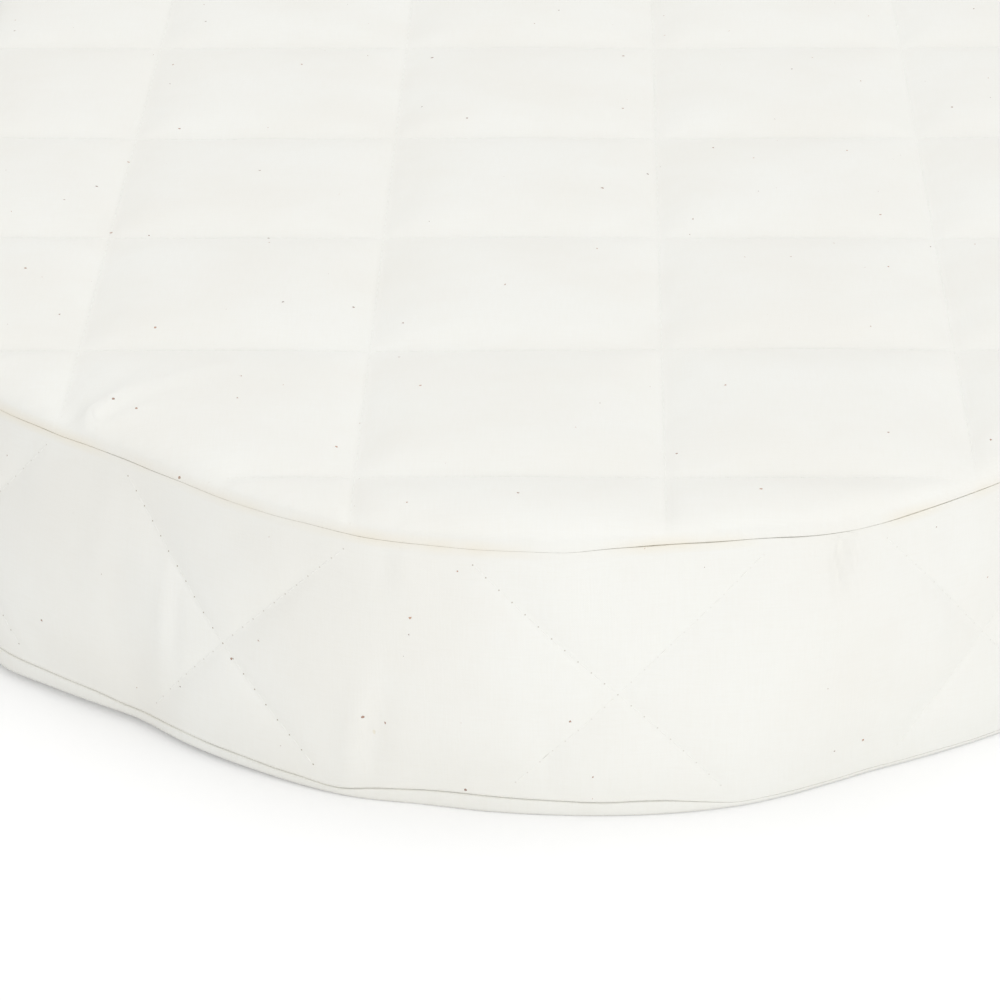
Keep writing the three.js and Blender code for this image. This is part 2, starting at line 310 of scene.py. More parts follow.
def groove_half(is_top, x, y):
    """Half the opening between the two cloths of a seam, which all but closes in places."""
    angle = end_angle(x, y)
    if not is_top:
        gape = bottom_gape * strip_stands(x, y)
    else:
        gape = drawn(seam_gapes, angle) / mm if abs(angle) < seam_gapes[-1][0] else top_gape
    gape *= 1 + gape_waver_share * waver(21, x, y, gape_waver_length)
    return seam_groove / 2 * max(least_gape, gape)


def make_active(piece):
    """Selects one piece alone, so that operators work on it."""
    bpy.ops.object.select_all(action="DESELECT")
    piece.select_set(True)
    bpy.context.view_layer.objects.active = piece


def places(piece):
    """The places of a mesh's vertices, one row each."""
    co = np.empty(len(piece.data.vertices) * 3)
    piece.data.vertices.foreach_get("co", co)
    return co.reshape(-1, 3)


def set_places(piece, co):
    piece.data.vertices.foreach_set("co", np.asarray(co, float).ravel())
    piece.data.update()


def reshape(piece, place_of):
    """Moves each place of a piece to where place_of puts it."""
    set_places(piece, [place_of(*place) for place in places(piece)])


@contextmanager
def editing(kind="VERT", action="SELECT", wanted=None):
    """Edit mode, with all of the active mesh selected, none of it, or only the edges or faces wanted."""
    bpy.ops.object.mode_set(mode="EDIT")
    bpy.ops.mesh.select_mode(type=kind)
    bpy.ops.mesh.select_all(action="DESELECT" if wanted else action)
    if wanted:
        bpy.ops.object.mode_set(mode="OBJECT")
        mesh = bpy.context.object.data
        for part in mesh.edges if kind == "EDGE" else mesh.polygons:
            part.select = wanted(part)
        bpy.ops.object.mode_set(mode="EDIT")
    yield
    bpy.ops.object.mode_set(mode="OBJECT")


def turn_over(piece):
    """Makes the cloth's face point the other way."""
    make_active(piece)
    with editing():
        bpy.ops.mesh.flip_normals()


def place_mesh():
    """Writes the active object's place, turn and scale into its mesh."""
    bpy.ops.object.transform_apply(location=True, rotation=True, scale=True)


def apply_all(piece):
    make_active(piece)
    for modifier in list(piece.modifiers):
        bpy.ops.object.modifier_apply(modifier=modifier.name)


def line_places(first_letters, axis):
    """The middles of a panel's quilting threads along one axis, in order."""
    found = [name for name in nodes if name.startswith(first_letters)]
    return sorted(sum(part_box(name), Vector())[axis] / 2 for name in found)


def keep_flat_places(piece):
    """Writes the flat cloth's own places, in metres, to the map that its weave and stitch holes follow."""
    layer = piece.data.uv_layers.new(name="cloth")
    corners = np.empty(len(piece.data.loops), int)
    piece.data.loops.foreach_get("vertex_index", corners)
    layer.data.foreach_set("uv", places(piece)[corners, :2].ravel())


def open_rim(piece):
    """The vertices along the cloth's cut rim."""
    make_active(piece)
    with editing(action="DESELECT"):
        bpy.ops.mesh.select_non_manifold(extend=False)
    return [v.index for v in piece.data.vertices if v.select]


def cut_off(pitch, cuts):
    """Cuts the active cloth along planes and merges the slivers that this leaves."""
    with editing():
        for place, way in cuts:
            bpy.ops.mesh.select_all(action="SELECT")
            bpy.ops.mesh.bisect(plane_co=place, plane_no=way, clear_outer=True)
        bpy.ops.mesh.select_all(action="SELECT")
        bpy.ops.mesh.remove_doubles(threshold=pitch / 4)


def closer_to_lines(values, start, spacing):
    """Moves even mesh lines closer to the quilting lines, where the cloth bends most."""
    turns = 2 * math.pi * (values - start) / spacing
    return values - spacing * crease_pull * np.sin(turns) / (2 * math.pi)


def rim_place(share, run, inset):
    """A place on the drawn outline at a run from the middle of the near end, moved in by inset."""
    flat, way = round_place(run)
    return flat + way * (seam_shift(share, *flat) - inset)


def line_mesh(name, counts, pitch, middle, starts, spacing):
    """A flat mesh of square cells round its middle, its rows drawn closer to the quilting lines."""
    bpy.ops.object.select_all(action="DESELECT")
    bpy.ops.mesh.primitive_grid_add(x_subdivisions=counts[0], y_subdivisions=counts[1], size=1)
    piece = bpy.context.object
    piece.name = name
    piece.scale = (counts[0] * pitch, counts[1] * pitch, 1)
    piece.location = (*middle, 0)
    place_mesh()
    co = places(piece)
    for axis, start in enumerate(starts):
        co[:, axis] = closer_to_lines(co[:, axis], start, spacing)
    set_places(piece, co)
    return piece


def cut_panel(name, across_lines, along_lines, share):
    """A flat panel whose mesh runs along its quilting lines, cut to the drawn outline short of the lip."""
    pitch = square / cells_per_square
    reach_x, reach_y = rim_radius + overcut, end_middle + rim_radius + overcut
    low_x = across_lines[0] - math.ceil((across_lines[0] + reach_x) / pitch) * pitch
    low_y = along_lines[0] - math.ceil((along_lines[0] + reach_y) / pitch) * pitch
    count_x, count_y = math.ceil((reach_x - low_x) / pitch), math.ceil((reach_y - low_y) / pitch)
    middle = (low_x + count_x * pitch / 2, low_y + count_y * pitch / 2)
    starts = (across_lines[0], along_lines[0])
    piece = line_mesh(name, (count_x, count_y), pitch, middle, starts, square)
    corners = [rim_place(share, facet * whole_run / rim_facets, seam_lip) for facet in range(rim_facets)]
    cuts = []
    for index, corner in enumerate(corners):
        along = corners[(index + 1) % rim_facets] - corner
        cuts.append((corner.to_3d(), Vector((along.y, -along.x, 0)).normalized()))
    cut_off(pitch, cuts)
    co = places(piece)
    for index in open_rim(piece):
        gap, way = from_rim(co[index, 0], co[index, 1])
        co[index, :2] += way * (gap + seam_shift(share, co[index, 0], co[index, 1]) - seam_lip)
    set_places(piece, co)
    keep_flat_places(piece)
    return piece


swell_frames, swell_pressure, swell_stiffness = 20, 2.5, 1.5


def swell(piece, held, most):
    """The wadding blows the cloth up between the vertices where it is held. No point moves further than
    most."""
    before = places(piece)
    group = piece.vertex_groups.new(name="held")
    group.add([int(index) for index in held], 1, "REPLACE")
    cloth = piece.modifiers.new("swell", "CLOTH")
    cloth.settings.vertex_group_mass = "held"
    cloth.settings.use_pressure = True
    cloth.settings.uniform_pressure_force = swell_pressure
    cloth.settings.effector_weights.gravity = 0
    cloth.settings.shrink_min = cloth_slack
    cloth.settings.bending_stiffness = swell_stiffness
    cloth.point_cache.frame_start, cloth.point_cache.frame_end = 1, swell_frames
    for step in range(1, swell_frames + 1):
        scene.frame_set(step)
    apply_all(piece)
    piece.vertex_groups.clear()
    scene.frame_set(1)
    moved = places(piece) - before
    length = np.linalg.norm(moved, axis=1)[:, None]
    set_places(piece, before + moved * np.minimum(1, most / np.maximum(length, 1e-9)))


def crease(piece, held):
    """Keeps the stitched lines sharp when the mesh is made finer."""
    ends = np.empty(len(piece.data.edges) * 2, int)
    piece.data.edges.foreach_get("vertices", ends)
    stitched = np.isin(ends.reshape(-1, 2), sorted(held)).all(axis=1)
    layer = piece.data.attributes.new("crease_edge", "FLOAT", "EDGE")
    layer.data.foreach_set("value", np.where(stitched, crease_weight, 0.0))


def refine(piece):
    """Halves the cloth's cells and rounds them between the stitched lines."""
    finer = piece.modifiers.new("finer", "SUBSURF")
    finer.levels = finer.render_levels = 1
    finer.uv_smooth = "NONE"
    apply_all(piece)


def line_share(value, lines):
    """Where a place lies between two quilting lines, from 0 to 1."""
    return ((value - lines[0]) / square) % 1


line_reach = 0.04 / cells_per_square


def is_line(*shares):
    """Whether a vertex lies on a quilting line, by its shares between the lines of both families."""
    return min(min(share, 1 - share) for share in shares) < line_reach


def pillow(share):
    """The height of a quilted square along its width: steep at its stitches, flat at its middle."""
    return (4 * share * (1 - share)) ** pillow_share


def quilt_panel(name, across_lines, along_lines, share, loft):
    """A quilted panel, blown up from its stitch level at zero."""
    piece = cut_panel(name, across_lines, along_lines, share)
    rim = set(open_rim(piece))
    on_lines = set()
    co = places(piece)
    for index, (x, y, z) in enumerate(co):
        u, v = line_share(x, across_lines), line_share(y, along_lines)
        if is_line(u, v):
            on_lines.add(index)
        rim_fade = math.sqrt(min(1, max(0, from_seam(share, x, y)[0]) / rim_reach))
        co[index, 2] = loft * pillow(u) * pillow(v) * rim_fade
    set_places(piece, co)
    swell(piece, rim | on_lines, top_swell)
    crease(piece, on_lines)
    return piece


def roll_drop(gap, roll, depth):
    """How far a rounded rim has fallen, this far in from its edge."""
    share = 1 - min(max(gap, 0), roll) / roll
    return depth * (1 - math.sqrt(1 - share * share))


def from_seam(share, x, y):
    """How far a place lies in from the drawn side, and the way out to it."""
    gap, way = from_rim(x, y)
    return gap + seam_shift(share, x, y), way


def add_lip(piece, rings, place):
    """Draws the open rim on in rings. place gives where each rim vertex goes, from its first place."""
    first = {index: piece.data.vertices[index].co.copy() for index in open_rim(piece)}
    came_from = {index: index for index in first}
    for ring in rings:
        with editing(action="DESELECT"):
            bpy.ops.mesh.select_non_manifold(extend=False)
            bpy.ops.mesh.extrude_region_move()
        new = {v.index for v in piece.data.vertices if v.select}
        parents = {}
        for edge in piece.data.edges:
            a, b = edge.vertices
            if (a in new) != (b in new):
                parents[a if a in new else b] = b if a in new else a
        came_from = {index: came_from[parents[index]] for index in new}
        for index, base in came_from.items():
            piece.data.vertices[index].co = place(first[base], ring)
    piece.data.update()


def solid_cloth(piece, thickness):
    """Gives the cloth its thickness, inwards from its face."""
    wall = piece.modifiers.new("wall", "SOLIDIFY")
    wall.thickness = thickness
    wall.offset = -1
    apply_all(piece)
    bpy.ops.object.shade_smooth_by_angle(angle=math.radians(60))


def own(piece, node):
    """The piece rides with the pad and stands for a CAD node, which is hidden."""
    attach(piece, "root")
    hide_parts(node)


def xyz_of(tree, vector):
    """The X, Y and Z of a vector."""
    return list(add_node(tree, "ShaderNodeSeparateXYZ", {"Vector": vector}).outputs)


def vector_maths(tree, operation, inputs):
    return add_node(tree, "ShaderNodeVectorMath", inputs, operation=operation).outputs[0]


def warp_and_weft(tree, flat, pitch, depth_of):
    """The weave's own height: threads that pass over and under each other along the cloth's map."""
    over, along = (
        maths(tree, "SINE", maths(tree, "MULTIPLY", value, math.pi / pitch))
        for value in xyz_of(tree, flat)[:2]
    )
    return maths(tree, "MULTIPLY", maths(tree, "MULTIPLY", over, along), depth_of)


def noise_value(tree, vector, scale, detail=2.0, roughness=0.5):
    return add_node(
        tree, "ShaderNodeTexNoise",
        {"Vector": vector, "Scale": scale, "Detail": detail, "Roughness": roughness},
    ).outputs["Fac"]


def blend_colours(tree, share, first, second):
    mix = add_node(tree, "ShaderNodeMix", data_type="RGBA")
    for socket, value in ((mix.inputs[0], share), (mix.inputs[6], first), (mix.inputs[7], second)):
        if isinstance(value, bpy.types.NodeSocket):
            tree.links.new(value, socket)
        else:
            socket.default_value = value
    return mix.outputs[2]


def span(tree, value, low, high, to_low=0.0, to_high=1.0):
    """A value from low to high, stretched to another range and held at its ends."""
    return add_node(
        tree, "ShaderNodeMapRange",
        {"Value": value, "From Min": low, "From Max": high, "To Min": to_low, "To Max": to_high},
    ).outputs["Result"]


specular_level, sheen_roughness = 0.25, 0.5


def new_paint(name, roughness, sheen):
    """A cloth or foam material with its even values on the shader's own sockets."""
    made = bpy.data.materials.new(name)
    made.use_nodes = True
    shader = made.node_tree.nodes["Principled BSDF"]
    shader.inputs["Roughness"].default_value = roughness
    shader.inputs["Specular IOR Level"].default_value = specular_level
    shader.inputs["Sheen Weight"].default_value = sheen
    shader.inputs["Sheen Roughness"].default_value = sheen_roughness
    return made, made.node_tree, shader


def surface_bump(tree, shader, height, strength, distance):
    bump = add_node(tree, "ShaderNodeBump", {"Height": height, "Strength": strength, "Distance": distance})
    tree.links.new(bump.outputs["Normal"], shader.inputs["Normal"])


yarn, stray_scale, stray_reach = 0.28 * mm, 90, 0.9 * mm
slub_length, slub_width = 9 * mm, 0.5 * mm
weave_share, slub_share, weave_strength, weave_relief = 0.35, 1.4, 0.15, 0.1 * mm
cloud_scale, patch_scale, fleck_strength = 22, 30, 0.85
fleck_cell, largest_fleck_share, ragged_scale = 7.4 * mm, 0.066, 2200
hole_middle, hole_rim = 0.15 * mm, 0.42 * mm
# How far the top seam's warm painted shade reaches from the seam's height, where it is full, and how strong
# it is.
seam_shade_reach, seam_shade_full, seam_shade_share = 2.8 * mm, 0.2 * mm, 0.45
tight_side, loose_side, loose_share = -70 * mm, 50 * mm, 0.2
cotton_roughness, cotton_sheen = 0.92, 0.15
cotton_pale, cotton_warm, slub_tone = colour(248, 248, 243), colour(246, 245, 239), colour(241, 238, 228)
dark_seed, pale_seed = colour(112, 70, 56), colour(190, 142, 112)
# The warm painted shade in and beside the top seam, and the painted shade in the needle holes.
seam_shade_tone, hole_shade_tone = colour(243, 233, 211), colour(150, 132, 108)


def fold_to_lines(tree, value, start, spacing):
    """The distance to the nearest of a row of evenly spaced lines."""
    turns = maths(tree, "DIVIDE", maths(tree, "SUBTRACT", value, start), spacing)
    off = maths(tree, "SUBTRACT", maths(tree, "FRACT", maths(tree, "ADD", turns, 0.5)), 0.5)
    return maths(tree, "MULTIPLY", maths(tree, "ABSOLUTE", off), spacing)


def near_holes(tree, across, along, line_start, line_spacing, hole_start, hole_pitch):
    """1 in the needle holes of one family of quilting lines, and 0 on the cloth between them."""
    squares = []
    for value, start, pitch in ((across, line_start, line_spacing), (along, hole_start, hole_pitch)):
        distance = fold_to_lines(tree, value, start, pitch)
        squares.append(maths(tree, "MULTIPLY", distance, distance))
    reach = maths(tree, "SQRT", maths(tree, "ADD", *squares))
    return span(tree, reach, hole_rim, hole_middle)


def cotton_cloth(name, holes, hole_shade_strength):
    """Unbleached plain-weave cotton: fine even yarns with thicker slubs, a soft nap, faint clouds of tone
    and the brown flecks of the cotton's seed, with a warm painted shade in and beside its top seam. holes
    makes the mask of its needle holes, into which shade is painted as strongly as the third argument
    says, most to the left, where the cloth is tight."""
    paint, tree, shader = new_paint(name, cotton_roughness, cotton_sheen)
    flat = add_node(tree, "ShaderNodeUVMap", uv_map="cloth").outputs["UV"]
    place = add_node(tree, "ShaderNodeTexCoord").outputs["Object"]

    stray = add_node(tree, "ShaderNodeTexNoise", {"Vector": flat, "Scale": stray_scale, "Detail": 2})
    centred = vector_maths(tree, "SUBTRACT", {0: stray.outputs["Color"], 1: (0.5, 0.5, 0.5)})
    shift = vector_maths(tree, "SCALE", {0: centred, "Scale": stray_reach})
    bent = vector_maths(tree, "ADD", {0: flat, 1: shift})
    weave = warp_and_weft(tree, bent, yarn, 1.0)
    slubs = []
    for stretch in ((1 / slub_length, 1 / slub_width, 1), (1 / slub_width, 1 / slub_length, 1)):
        stretched = add_node(tree, "ShaderNodeMapping", {"Vector": bent, "Scale": stretch}).outputs[0]
        slubs.append(noise_value(tree, stretched, 1.0, 1.0))
    slub = maths(tree, "ADD", *slubs)
    weave = maths(tree, "MULTIPLY", weave, weave_share)
    height = maths(tree, "ADD", weave, maths(tree, "MULTIPLY", slub, slub_share))
    surface_bump(tree, shader, height, weave_strength, weave_relief)

    clouds = noise_value(tree, place, cloud_scale, 3.0)
    tone = blend_colours(tree, span(tree, clouds, 0.35, 0.65), cotton_pale, cotton_warm)
    tone = blend_colours(tree, span(tree, slub, 0.85, 1.3, 0.0, 0.15), tone, slub_tone)
    seeds = add_node(tree, "ShaderNodeTexVoronoi", {"Vector": place, "Scale": 1 / fleck_cell})
    luck = add_node(tree, "ShaderNodeSeparateColor", {"Color": seeds.outputs["Color"]})
    rough = span(tree, noise_value(tree, place, ragged_scale, 1.0), 0.3, 0.7, -0.02, 0.02)
    ragged = maths(tree, "ADD", seeds.outputs["Distance"], rough)
    size = span(tree, luck.outputs["Red"], 0.4, 1.0, 0.0, largest_fleck_share)
    fleck = maths(tree, "GREATER_THAN", maths(tree, "SUBTRACT", size, ragged), 0.0)
    fleck_tone = blend_colours(tree, luck.outputs["Green"], dark_seed, pale_seed)
    tone = blend_colours(tree, maths(tree, "MULTIPLY", fleck, fleck_strength), tone, fleck_tone)
    across, along, height = xyz_of(tree, place)
    # Warm painted shade in patches, in and beside the top seam's groove where its lips roll in.
    to_seam = maths(tree, "ABSOLUTE", maths(tree, "SUBTRACT", height, top_seam))
    painted_seam_shade = span(tree, to_seam, seam_shade_reach, seam_shade_full, 0.0, seam_shade_share)
    patches = span(tree, noise_value(tree, place, patch_scale, 2.0), 0.42, 0.6, 0.1, 1.0)
    tone = blend_colours(tree, maths(tree, "MULTIPLY", painted_seam_shade, patches), tone, seam_shade_tone)
    # Painted shade in the needle holes, most to the left, where the cloth is tight.
    tension = span(tree, across, loose_side, tight_side, loose_share)
    hole_shade_share = maths(tree, "MULTIPLY", maths(tree, "MULTIPLY", holes(tree, flat), tension), hole_shade_strength)
    tone = blend_colours(tree, hole_shade_share, tone, hole_shade_tone)
    tree.links.new(tone, shader.inputs["Base Color"])
    return paint


top_across, top_along = line_places("top_lengthwise", 0), line_places("top_crosswise", 1)
square = top_across[1] - top_across[0]
stitches_per_square = 17
stitch_pitch = square / stitches_per_square


def panel_holes(across_lines, along_lines):
    """The needle holes of a panel's two families of quilting lines."""
    def holes(tree, flat):
        x, y, z = xyz_of(tree, flat)
        first_x, first_y = across_lines[0], along_lines[0]
        return maths(
            tree, "MAXIMUM",
            near_holes(tree, x, y, first_x, square, first_y, stitch_pitch),
            near_holes(tree, y, x, first_y, square, first_x, stitch_pitch),
        )
    return holes


fold_fade = 5 * mm
top_unevenness, unevenness_length = 0.5 * mm, 130 * mm
top_rings = (0.7 * mm, 0.4 * mm, seam_inset, turned_in)
# How strong the painted shade in the top's needle holes is.
top_hole_shade_strength = 0.06

# Small folds of the top, where its cloth is drawn up at the near seam: the place of each one's middle, its
# direction in degrees from X, its half length and half width, and its height, in millimetres.
top_folds = (
    (-135, -306, 58, 24, 2.6, 1.3), (-126, -300, 40, 28, 2.8, 1.2), (-128, -314, 38, 14, 2.4, 0.8),
    (-145, -321, 84, 12, 2.8, -1.3), (-139, -320, 95, 10, 2.6, 1.2), (-60, -383, 92, 10, 2.8, -1.3),
    (-56, -383, 70, 9, 2, 0.5), (62, -371, 80, 10, 2.6, -0.5), (34, -262, 28, 22, 4, 0.4),
    (100, -240, 32, 26, 5, 0.5), (-176, -280, 35, 20, 4, 0.7), (15, -330, 12, 30, 5, 0.35),
)


def fold_height(folds, across, along):
    """How far the folds of a list raise the cloth at a place. Each dies out in three half lengths."""
    total = 0
    for fold_across, fold_along, degrees, half_length, half_width, height in folds:
        off = (across / mm - fold_across, along / mm - fold_along)
        if abs(off[0]) + abs(off[1]) > 3 * half_length:
            continue
        turn = math.radians(degrees)
        forward = off[0] * math.cos(turn) + off[1] * math.sin(turn)
        sideways = off[1] * math.cos(turn) - off[0] * math.sin(turn)
        total += height * math.exp(-((forward / half_length) ** 2) - (sideways / half_width) ** 2)
    return total * mm


top_cloth = quilt_panel("top_quilted_cloth", top_across, top_along, 1, top_loft)
top_swollen = top_cloth.data.copy()
refine(top_cloth)


def top_level(x, y, swollen):
    """The height of the top's face over a place whose cloth has swollen this far above its stitches."""
    gap, way = from_seam(1, x, y)
    depth = top_stitches - seam_height(True, x, y) - groove_half(True, x, y)
    fall = roll_drop(gap - seam_inset, top_roll, depth)
    folds = fold_height(top_folds, x, y) * smooth(gap / fold_fade)
    return top_stitches + swollen + folds - fall + top_unevenness * waver(7, x, y, unevenness_length)


def top_lip(first, ring):
    """Where the top's lip lies, this far in from the drawn side, as it rolls down to the seam."""
    gap, way = from_seam(1, first.x, first.y)
    flat = first.xy + way * (gap - ring)
    depth = top_stitches - seam_height(True, *flat) - groove_half(True, *flat)
    fall = roll_drop(ring - seam_inset, top_roll, depth) if ring < seam_lip else depth
    return Vector((*flat, top_stitches - fall))


reshape(top_cloth, lambda x, y, z: (x, y, top_level(x, y, z)))
add_lip(top_cloth, top_rings, top_lip)
solid_cloth(top_cloth, cloth_thickness)
top_holes = panel_holes(top_across, top_along)
top_cloth.data.materials.append(cotton_cloth("top_cotton", top_holes, top_hole_shade_strength))
own(top_cloth, "top_face_cloth")


# The side band's face cloth: one strip of the same cotton, quilted on the bias so that its lines cross as
# diamonds, and sewn into a ring. Its mesh is made as one period turned by 45 degrees, repeated along the
# strip, wrapped round the pad and blown up there.
side_low, side_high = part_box("side_face_cloth")[0].z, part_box("side_face_cloth")[1].z
side_middle, side_half = (side_low + side_high) / 2, (side_high - side_low) / 2
crossing_count = len([name for name in nodes if name.startswith("side_crossing_thread_")])
crossing_run = whole_run / crossing_count
first_crossing, crossing_drop = 11.5 * mm, 5 * mm
side_loft, side_swell, side_bulge = 2.2 * mm, 1 * mm, 0.4 * mm
side_roll, side_tuck, side_fade = 2 * mm, 0.3 * mm, 26 * mm
band_rings = (0.7 * mm, 0.3 * mm, 0.05 * mm, turned_in)
merge_reach = 0.1 * mm
row_end = 1.5 * mm
# The band's stitches to a line, how strong the painted shade in its needle holes is, and the rising lines'
# share of it.
band_stitches, side_hole_shade_strength, rising_hole_share = 16, 0.85, 0.45
join_depth, join_width = 0.9 * mm, 2.5 * mm
join_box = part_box("side_join_thread")
join_run = run_of(sum(join_box, Vector()).x / 2, join_box[1].y)

# How far the band's quilting lies along from its even place, in millimetres by the angle round the near
# end, and the upright folds of the band: run, height over the middle, degrees from level, half length, half
# width and how far out.
band_drifts = ((-75, 0), (-31, -6), (-12, -1), (0, 0), (22, 3), (60, 0))
side_folds = (
    (-61.5, -21, 78, 15, 3.2, 1.4), (-54.8, -19, 77, 18, 2.8, -1.4), (71.5, 31, 84, 9, 2, -2.3),
    (76, 31, 84, 9, 2.4, 1.2), (-50.8, 31, 90, 7, 2.2, -0.8), (-7, -24, 85, 8, 2.2, -0.7),
    (-124, -2, 84, 16, 2.6, 0.8), (-119, -4, 86, 16, 2.2, -0.6), (60, 30, 60, 12, 4, -0.4),
    (-150, 10, 80, 20, 5, 0.7), (105, 8, 96, 18, 6, 0.6), (-95, 30, 40, 12, 4, -0.5),
)


def band_ends(x, y):
    """The heights of the band's two edges near a place of the rim."""
    return seam_height(False, x, y) + side_low - bottom_seam, seam_height(True, x, y) + side_high - top_seam


def side_place(run, height, out):
    """A place on the side at a run, a height over its middle and a distance out from the drawn side."""
    drift = drawn(band_drifts, end_angle(*round_place(run)[0]))
    flat, way = round_place(run + drift)
    share = (height + side_half) / (2 * side_half)
    flat = flat + way * (out + seam_shift(share, *flat))
    low, high = band_ends(*flat)
    return Vector((*flat, low + (high - low) * share))


def on_band(x, y, z):
    """The run and the height over the band's middle of a place near it."""
    run = run_of(x, y)
    low, high = band_ends(x, y)
    drift = drawn(band_drifts, end_angle(x, y))
    drift = drawn(band_drifts, end_angle(*round_place(run - drift)[0]))
    return run - drift, ((z - low) / (high - low) * 2 - 1) * side_half


def side_shares(run, height):
    """Where a place of the band lies between the lines of its two families, from 0 to 1 each."""
    return (
        ((run + height + crossing_drop - first_crossing) / crossing_run) % 1,
        ((run - height - crossing_drop - first_crossing) / crossing_run) % 1,
    )


band_height = side_half - seam_lip
cell = crossing_run / math.sqrt(2)
pitch = cell / cells_per_square
first_up = (first_crossing - crossing_drop) / math.sqrt(2)
first_down = (first_crossing + crossing_drop) / math.sqrt(2)
beyond = math.ceil(math.sqrt(2) * (band_height + crossing_drop) / pitch)
band = line_mesh(
    "side_quilted_cloth", (cells_per_square, cells_per_square + 2 * beyond), pitch,
    (first_up + cell / 2, -first_down - cell / 2), (first_up, -first_down), cell,
)
band.data.transform(Matrix.Rotation(math.radians(45), 4, "Z"))
make_active(band)
cut_off(pitch, [(Vector((0, side * band_height, 0)), Vector((0, side, 0))) for side in (1, -1)])
# The corners of the period meet those of the next one exactly, so that no slit is left between them.
co = places(band)
for index in open_rim(band):
    run, height = co[index, :2]
    if abs(abs(height) - band_height) < pitch / 3:
        side = math.copysign(1, height)
        first_end = first_crossing - crossing_drop - side * band_height
        near_end = min((first_end, first_end + crossing_run), key=lambda end: abs(end - run))
        co[index, :2] = near_end if abs(near_end - run) < pitch / 3 else run, side * band_height
set_places(band, co)
repeat = band.modifiers.new("repeat", "ARRAY")
repeat.count = crossing_count
repeat.use_relative_offset = False
repeat.use_constant_offset = True
repeat.constant_offset_displace = (crossing_run, 0, 0)
repeat.use_merge_vertices = True
repeat.merge_threshold = merge_reach
apply_all(band)
keep_flat_places(band)
co = places(band)
on_lines = band.vertex_groups.new(name="on_lines")
for index, (run, height, z) in enumerate(co):
    u, v = side_shares(run, height)
    if is_line(u, v):
        on_lines.add([index], 1, "REPLACE")
    edge = smooth((side_half - abs(height)) / side_fade)
    co[index] = side_place(run, height, side_loft * pillow(u) * pillow(v) * edge)
set_places(band, co)
with editing():
    bpy.ops.mesh.remove_doubles(threshold=merge_reach)
on_lines = {vertex.index for vertex in band.data.vertices if vertex.groups}
band.vertex_groups.clear()
swell(band, on_lines | set(open_rim(band)), side_swell)
crease(band, on_lines)
side_swollen = band.data.copy()
refine(band)


def side_out(run, height):
    """The side's shape apart from its quilting: a soft bulge, drawn in at both seams and at the join."""
    bulge = side_bulge * (1 - (height / side_half) ** 2)
    tuck = roll_drop(side_half - abs(height), side_roll, side_tuck)
    if height < 0:
        tuck *= strip_stands(*round_place(run)[0])
    near_run = (run + whole_run / 2) % whole_run - whole_run / 2
    folds = fold_height(side_folds, near_run, height) * smooth((side_half - abs(height)) / row_end)
    return bulge + folds - tuck - join_depth * math.exp(-(((run - join_run) / join_width) ** 2))


def shaped_side(x, y, z):
    """A place of the band, moved out along the side by its shape."""
    flat = Vector((x, y)) + round_place(run_of(x, y))[1] * side_out(*on_band(x, y, z))
    return *flat, z


def band_lip(first, ring):
    """Where the band's lip lies, as it turns in at either seam."""
    run, height = on_band(*first)
    side = math.copysign(1, height)
    out = side_out(run, side * (side_half - ring)) if ring < seam_lip else -ring
    place = side_place(run, side * side_half, out)
    is_top = side > 0
    opening = groove_half(is_top, place.x, place.y) + (ring if ring < seam_lip else 0)
    place.z = seam_height(is_top, place.x, place.y) - side * opening
    return place


reshape(band, shaped_side)
add_lip(band, band_rings, band_lip)
solid_cloth(band, cloth_thickness)


def band_holes(tree, flat):
    """The needle holes of the band's lines, which run up to the right and up to the left."""
    run, from_middle, z = xyz_of(tree, flat)
    height = maths(tree, "ADD", from_middle, crossing_drop)
    rising, falling = maths(tree, "SUBTRACT", run, height), maths(tree, "ADD", run, height)
    pitches = (first_crossing, crossing_run, first_crossing, crossing_run / band_stitches)
    on_rising = near_holes(tree, rising, falling, *pitches)
    on_falling = near_holes(tree, falling, rising, *pitches)
    found = maths(tree, "MAXIMUM", maths(tree, "MULTIPLY", on_rising, rising_hole_share), on_falling)
    inside = maths(tree, "LESS_THAN", maths(tree, "ABSOLUTE", from_middle), side_half - row_end)
    return maths(tree, "MULTIPLY", found, inside)


band.data.materials.append(cotton_cloth("side_cotton", band_holes, side_hole_shade_strength))
own(band, "side_face_cloth")


# The bottom panel's face cloth: the same quilt turned over. The pad's weight presses its squares flat on
# the floor, and its rim wraps up a few millimetres to the bottom seam.
bottom_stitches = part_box("bottom_lengthwise_thread_1")[1].z + thread_gap
bottom_loft, bottom_roll, corner_reach, strip_proud = 3 * mm, 1.1 * mm, 15 * mm, 0.5 * mm
bottom_rings = (0.4 * mm, 0, -0.3 * mm, -strip_proud, turned_in)
pressed_share, rim_lift_reach = 0.45, 6 * mm
# How strong the painted shade in the bottom's needle holes is.
bottom_hole_shade_strength = 0.12
bottom_across, bottom_along = line_places("bottom_lengthwise", 0), line_places("bottom_crosswise", 1)
bottom_cloth = quilt_panel("bottom_quilted_cloth", bottom_across, bottom_along, 0, bottom_loft)
bottom_swollen = bottom_cloth.data.copy()
refine(bottom_cloth)


def bottom_edge(gap, x, y):
    """The height of the bottom's rim this far in from the seam: a rounded corner, which the sewing lifts
    off the floor in places."""
    lift = drawn(corner_lifts, end_angle(x, y))
    rise = seam_height(False, x, y) - groove_half(False, x, y) - lift
    gap_from_strip = gap + strip_proud * strip_stands(x, y)
    return lift * (1 - smooth(gap / corner_reach)) + roll_drop(gap_from_strip, bottom_roll, rise)


